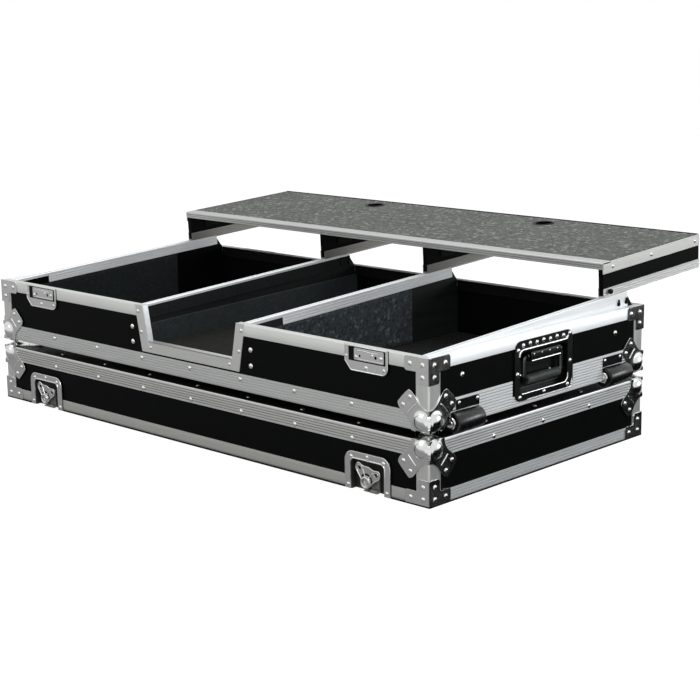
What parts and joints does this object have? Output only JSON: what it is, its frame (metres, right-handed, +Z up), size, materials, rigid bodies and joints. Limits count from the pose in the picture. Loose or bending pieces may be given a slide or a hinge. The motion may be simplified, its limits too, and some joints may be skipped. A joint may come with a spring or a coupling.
{
  "type": "dj coffin case",
  "caption": "Hard case for turntables and a mixer: a base tray with wells and a cut-out front, stood on its latched lid, with a laptop shelf that glides on sloping rails.",
  "frame": {"origin": "middle of the whole box, on the floor that the lid's rim stands on", "axes": "+Z up, +X along the case's length towards the end with the rollers, +Y from the front with the mixer's cut-out to the back"},
  "size_m": [1.105, 0.7586, 0.3272],
  "materials": {
    "laminate": "plywood faced with gloss black laminate",
    "inner_board": "matt black stained plywood",
    "aluminium": "extruded, fine ribs, satin",
    "chrome": "chromed pressed steel",
    "rivets": "domed steel rivets",
    "black_steel": "black painted steel",
    "rubber": "moulded rubber",
    "plastic": "black moulded plastic",
    "lining": "dark needled carpet",
    "shelf_carpet": "grey flecked carpet"
  },
  "bodies": {
    "lid": {"lid_top_board": "laminate", "lid_front_board": "laminate", "lid_rear_board": "laminate", "lid_left_board": "laminate", "lid_right_board": "laminate", "lid_top_frame": "aluminium", "lid_rim_frame": "aluminium", "lid_ball_corner_front_left": "chrome", "lid_ball_corner_front_right": "chrome", "lid_ball_corner_rear_right": "chrome", "lid_ball_corner_rear_left": "chrome", "latch_dish_front_left": "chrome", "latch_dish_front_right": "chrome", "latch_dish_rear_left": "chrome", "latch_dish_rear_right": "chrome"},
    "base": {"base_floor_board": "inner_board", "base_front_board": "laminate", "base_rear_board": "laminate", "base_left_board": "laminate", "base_right_board": "laminate", "divider_left": "inner_board", "divider_right": "inner_board", "base_rim_frame": "aluminium", "base_bottom_frame": "aluminium", "base_ball_corner_front_left": "chrome", "base_ball_corner_front_right": "chrome", "base_ball_corner_rear_right": "chrome", "base_ball_corner_rear_left": "chrome", "mixer_deck": "lining", "handle_dish_left": "chrome", "handle_dish_right": "chrome", "handle_spring_left": "chrome", "handle_spring_right": "chrome", "roller_housing_front": "black_steel", "roller_housing_rear": "black_steel", "rail_left": "aluminium", "rail_bay_left": "aluminium", "rail_bay_right": "aluminium", "rail_right": "aluminium"},
    "shelf": {"shelf_board": "inner_board", "shelf_carpet": "shelf_carpet", "shelf_trim": "aluminium", "shelf_runner_left": "aluminium", "shelf_runner_bay_left": "aluminium", "shelf_runner_bay_right": "aluminium", "shelf_runner_right": "aluminium"},
    "handle_left": {"handle_bail_left": "chrome", "handle_grip_left": "rubber"},
    "handle_right": {"handle_bail_right": "chrome", "handle_grip_right": "rubber"},
    "roller_front": {"roller_front": "rubber"},
    "roller_rear": {"roller_rear": "rubber"},
    "wing_front_left": {"latch_wing_front_left": "chrome"},
    "hook_front_left": {"latch_hook_front_left": "chrome"},
    "wing_front_right": {"latch_wing_front_right": "chrome"},
    "hook_front_right": {"latch_hook_front_right": "chrome"},
    "wing_rear_left": {"latch_wing_rear_left": "chrome"},
    "hook_rear_left": {"latch_hook_rear_left": "chrome"},
    "wing_rear_right": {"latch_wing_rear_right": "chrome"},
    "hook_rear_right": {"latch_hook_rear_right": "chrome"}
  },
  "joints": [
    {"name": "base_lift", "type": "slide", "parent": "lid", "child": "base", "axis": [0, 0, 1], "range_m": [0, 0.2]},
    {"name": "shelf_glide", "type": "slide", "parent": "base", "child": "shelf", "axis": [0, -0.9987, -0.0506], "range_m": [0, 0.4]},
    {"name": "handle_left_swing", "type": "hinge", "parent": "base", "child": "handle_left", "pos_m": [-0.5425, -0.09334, 0.1928], "axis": [0, 1, 0], "range_deg": [0, 90], "stiffness_Nm_per_rad": 0.15, "springref_deg": -17.19},
    {"name": "handle_right_swing", "type": "hinge", "parent": "base", "child": "handle_right", "pos_m": [0.5315, -0.09334, 0.1928], "axis": [0, -1, 0], "range_deg": [0, 90], "stiffness_Nm_per_rad": 0.15, "springref_deg": -17.19},
    {"name": "roller_front_spin", "type": "hinge", "parent": "base", "child": "roller_front", "pos_m": [0.5355, -0.28885, 0.1223], "axis": [0, 1, 0], "continuous": true},
    {"name": "roller_rear_spin", "type": "hinge", "parent": "base", "child": "roller_rear", "pos_m": [0.5355, 0.10215, 0.1223], "axis": [0, 1, 0], "continuous": true},
    {"name": "wing_front_left_turn", "type": "hinge", "parent": "lid", "child": "wing_front_left", "pos_m": [-0.4195, -0.37134, 0.017], "axis": [0, 1, 0], "range_deg": [0, 180]},
    {"name": "hook_front_left_draw", "type": "slide", "parent": "lid", "child": "hook_front_left", "axis": [0, 0, 1], "range_m": [0, 0.01]},
    {"name": "wing_front_right_turn", "type": "hinge", "parent": "lid", "child": "wing_front_right", "pos_m": [0.4085, -0.37134, 0.017], "axis": [0, 1, 0], "range_deg": [0, 180]},
    {"name": "hook_front_right_draw", "type": "slide", "parent": "lid", "child": "hook_front_right", "axis": [0, 0, 1], "range_m": [0, 0.01]},
    {"name": "wing_rear_left_turn", "type": "hinge", "parent": "lid", "child": "wing_rear_left", "pos_m": [-0.4195, 0.18466, 0.017], "axis": [0, 1, 0], "range_deg": [0, 180]},
    {"name": "hook_rear_left_draw", "type": "slide", "parent": "lid", "child": "hook_rear_left", "axis": [0, 0, 1], "range_m": [0, 0.01]},
    {"name": "wing_rear_right_turn", "type": "hinge", "parent": "lid", "child": "wing_rear_right", "pos_m": [0.4085, 0.18466, 0.017], "axis": [0, 1, 0], "range_deg": [0, 180]},
    {"name": "hook_rear_right_draw", "type": "slide", "parent": "lid", "child": "hook_rear_right", "axis": [0, 0, 1], "range_m": [0, 0.01]}
  ],
  "couplings": [
    {"joint": "wing_front_left_turn", "follows": "hook_front_left_draw", "rad_per_m": 314.16},
    {"joint": "wing_front_right_turn", "follows": "hook_front_right_draw", "rad_per_m": 314.16},
    {"joint": "wing_rear_left_turn", "follows": "hook_rear_left_draw", "rad_per_m": 314.16},
    {"joint": "wing_rear_right_turn", "follows": "hook_rear_right_draw", "rad_per_m": 314.16}
  ]
}
